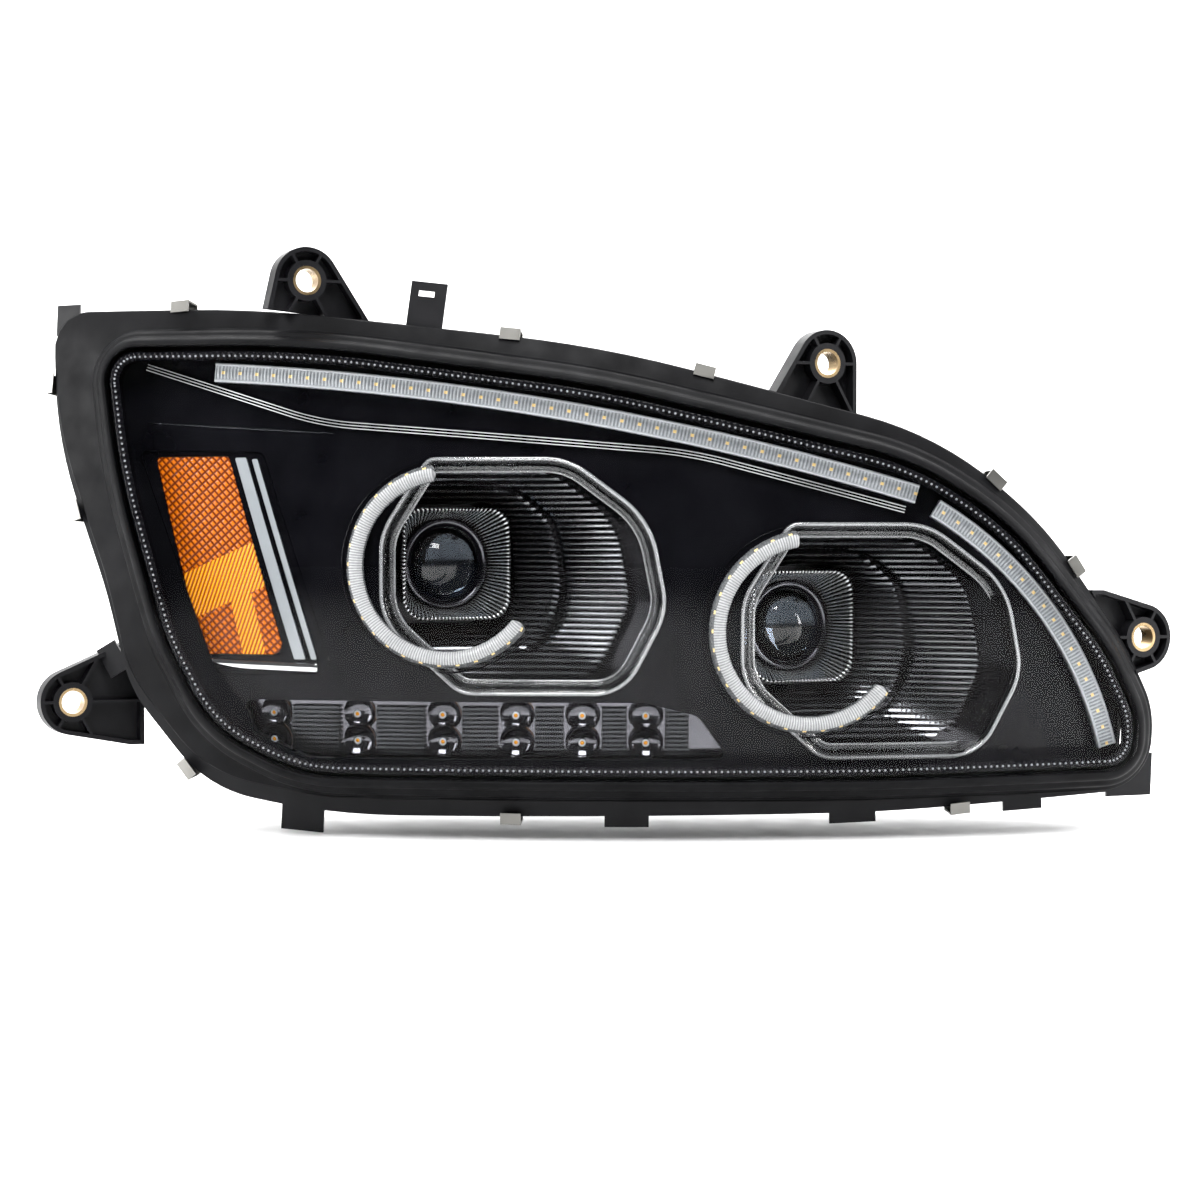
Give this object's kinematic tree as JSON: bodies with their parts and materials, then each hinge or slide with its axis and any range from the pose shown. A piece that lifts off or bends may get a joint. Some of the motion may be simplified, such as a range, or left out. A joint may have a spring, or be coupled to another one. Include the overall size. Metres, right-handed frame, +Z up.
{
  "type": "car headlight assembly",
  "caption": "Wrap-around LED headlight with projector low and high beams, halo and daytime light guides, turn signal and amber side reflector on a black housing with four ears",
  "frame": {"origin": "middle of the steel bush in the upper outboard ear, the mount upper_outboard_bush", "axes": "-Y is straight ahead of the truck, the way the beams and the mounting bolts point; +Z is up; +X is inboard, towards the grille"},
  "size_m": [0.7179, 0.402, 0.402],
  "materials": {
    "black_housing": "moulded matte black",
    "clear_lens": "clear hard-coated",
    "seal_rubber": "matte",
    "bright_steel": "zinc plated",
    "gloss_black": "polished black",
    "white_guide": "ribbed white light guide",
    "clear_trim": "clear",
    "amber_reflector": "prismatic amber",
    "silver_pocket": "smoked silver",
    "mirror_bowls": "vacuum metallised",
    "projector_glass": "polished",
    "dark_metal": "black",
    "cast_aluminium": "die cast",
    "circuit_board": "solder mask",
    "amber_led": "emitter",
    "knob_plastic": "natural nylon",
    "pin_metal": "tinned"
  },
  "bodies": {
    "lamp": {"housing": "black_housing", "outer_lens": "clear_lens", "lens_seal": "seal_rubber", "gasket": "seal_rubber", "upper_outboard_ear": "black_housing", "upper_inboard_ear": "black_housing", "inboard_ear": "black_housing", "lower_outboard_ear": "black_housing", "mount_bushes": "bright_steel", "spring_clips": "bright_steel", "bezel": "gloss_black", "daytime_light_guide": "white_guide", "swept_light_guide": "white_guide", "daytime_led_strips": "circuit_board", "eyebrow_trim": "clear_trim", "side_pocket": "silver_pocket", "side_reflector": "amber_reflector", "side_light_pipes": "white_guide", "side_marker_board": "circuit_board", "turn_reflectors": "mirror_bowls", "turn_leds": "amber_led", "turn_rib_plates": "gloss_black", "turn_board": "circuit_board", "pivot_pins": "bright_steel", "pivot_brackets": "black_housing", "aim_gearcases": "black_housing", "led_driver_box": "cast_aluminium", "connector_inlet": "black_housing", "connector_pins": "pin_metal", "breather_vents": "black_housing", "driver_box_screws": "bright_steel", "low_beam_halo": "white_guide", "low_beam_accent_ring": "clear_trim", "low_beam_pocket": "gloss_black", "high_beam_halo": "white_guide", "high_beam_accent_ring": "clear_trim", "high_beam_pocket": "gloss_black"},
    "low_beam_module": {"low_beam_carrier": "cast_aluminium", "low_beam_shroud": "gloss_black", "low_beam_lens": "projector_glass", "low_beam_lens_holder": "dark_metal", "low_beam_projector_body": "dark_metal", "low_beam_led_board": "circuit_board", "low_beam_heat_sink": "cast_aluminium", "low_beam_screws": "bright_steel", "low_beam_cutoff_shield": "dark_metal"},
    "low_beam_screw_body": {"low_beam_aim_screw": "bright_steel"},
    "low_beam_knob_body": {"low_beam_aim_knob": "knob_plastic"},
    "low_beam_boot_body": {"low_beam_access_boot": "seal_rubber"},
    "high_beam_module": {"high_beam_carrier": "cast_aluminium", "high_beam_shroud": "gloss_black", "high_beam_lens": "projector_glass", "high_beam_lens_holder": "dark_metal", "high_beam_projector_body": "dark_metal", "high_beam_led_board": "circuit_board", "high_beam_heat_sink": "cast_aluminium", "high_beam_screws": "bright_steel"},
    "high_beam_screw_body": {"high_beam_aim_screw": "bright_steel"},
    "high_beam_knob_body": {"high_beam_aim_knob": "knob_plastic"},
    "high_beam_boot_body": {"high_beam_access_boot": "seal_rubber"}
  },
  "joints": [
    {"name": "low_beam_knob_turn", "type": "hinge", "parent": "lamp", "child": "low_beam_knob_body", "pos_m": [0.09395, 0.11922, -0.264], "axis": [0, 1, 0], "range_deg": [-1000, 1000]},
    {"name": "low_beam_screw_travel", "type": "slide", "parent": "lamp", "child": "low_beam_screw_body", "axis": [0, 1, 0], "range_m": [-0.0056, 0.0056]},
    {"name": "low_beam_aim", "type": "hinge", "parent": "lamp", "child": "low_beam_module", "pos_m": [0.09395, 0.01022, -0.136], "axis": [1, 0, 0], "range_deg": [-2.5, 2.5]},
    {"name": "low_beam_boot_pull", "type": "slide", "parent": "lamp", "child": "low_beam_boot_body", "axis": [0, 1, 0], "range_m": [0, 0.06]},
    {"name": "high_beam_knob_turn", "type": "hinge", "parent": "lamp", "child": "high_beam_knob_body", "pos_m": [0.31177, 0.02317, -0.307], "axis": [0, 1, 0], "range_deg": [-1000, 1000]},
    {"name": "high_beam_screw_travel", "type": "slide", "parent": "lamp", "child": "high_beam_screw_body", "axis": [0, 1, 0], "range_m": [-0.0056, 0.0056]},
    {"name": "high_beam_aim", "type": "hinge", "parent": "lamp", "child": "high_beam_module", "pos_m": [0.31177, -0.08583, -0.179], "axis": [1, 0, 0], "range_deg": [-2.5, 2.5]},
    {"name": "high_beam_boot_pull", "type": "slide", "parent": "lamp", "child": "high_beam_boot_body", "axis": [0, 1, 0], "range_m": [0, 0.06]}
  ],
  "couplings": [
    {"joint": "low_beam_screw_travel", "follows": "low_beam_knob_turn", "m_per_rad": 0.00031831},
    {"joint": "low_beam_aim", "follows": "low_beam_knob_turn", "ratio": 0.0024868},
    {"joint": "high_beam_screw_travel", "follows": "high_beam_knob_turn", "m_per_rad": 0.00031831},
    {"joint": "high_beam_aim", "follows": "high_beam_knob_turn", "ratio": 0.0024868}
  ]
}
